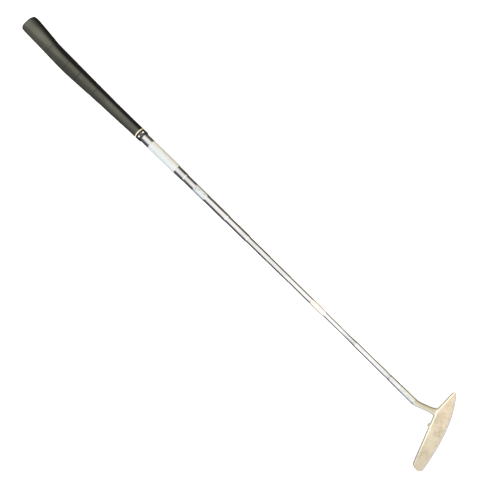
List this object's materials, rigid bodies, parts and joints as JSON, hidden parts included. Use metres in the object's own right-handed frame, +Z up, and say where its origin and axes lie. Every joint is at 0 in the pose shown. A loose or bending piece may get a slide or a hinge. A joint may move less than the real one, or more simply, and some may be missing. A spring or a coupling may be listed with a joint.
{
  "type": "golf putter",
  "caption": "Golf putter lying face up: slim bronze blade head on a bent neck, stepped steel shaft with wrapped labels, and a pistol-shaped rubber grip.",
  "frame": {"origin": "on the surface that the club lies on, under the middle of its outline", "axes": "+X from the butt of the grip to the head, along the club; -Y to the toe of the head; +Z up, out of the striking face"},
  "size_m": [0.9032, 0.1205, 0.0251],
  "materials": {
    "bronze": "worn satin cast bronze, brighter along the edges",
    "sleeve_steel": "bright brushed",
    "epoxy": "clear amber adhesive",
    "shaft_chrome": "bright chrome plate with fine scratches",
    "gold_film": "yellowed clear film with a gold tint",
    "label_film": "glossy white film with plain grey marks",
    "label_paper": "white paper, aged to cream on one side",
    "grip_rubber": "matte, fine ribs across",
    "cap_rubber": "matte, smooth",
    "tape_paper": "double-sided tape",
    "cream_plastic": "semi-gloss cream",
    "black_plastic": "glossy black",
    "white_plastic": "semi-gloss white"
  },
  "bodies": {
    "root": {"putter_head": "bronze", "hosel_sleeve": "sleeve_steel", "hosel_epoxy": "epoxy", "shaft": "shaft_chrome", "neck_band": "gold_film", "shaft_label": "label_film", "price_label": "label_paper", "grip_body": "grip_rubber", "grip_cap": "cap_rubber", "grip_tape": "tape_paper", "trim_ring": "cream_plastic", "mouth_band": "black_plastic", "band_dots": "white_plastic"}
  },
  "joints": []
}
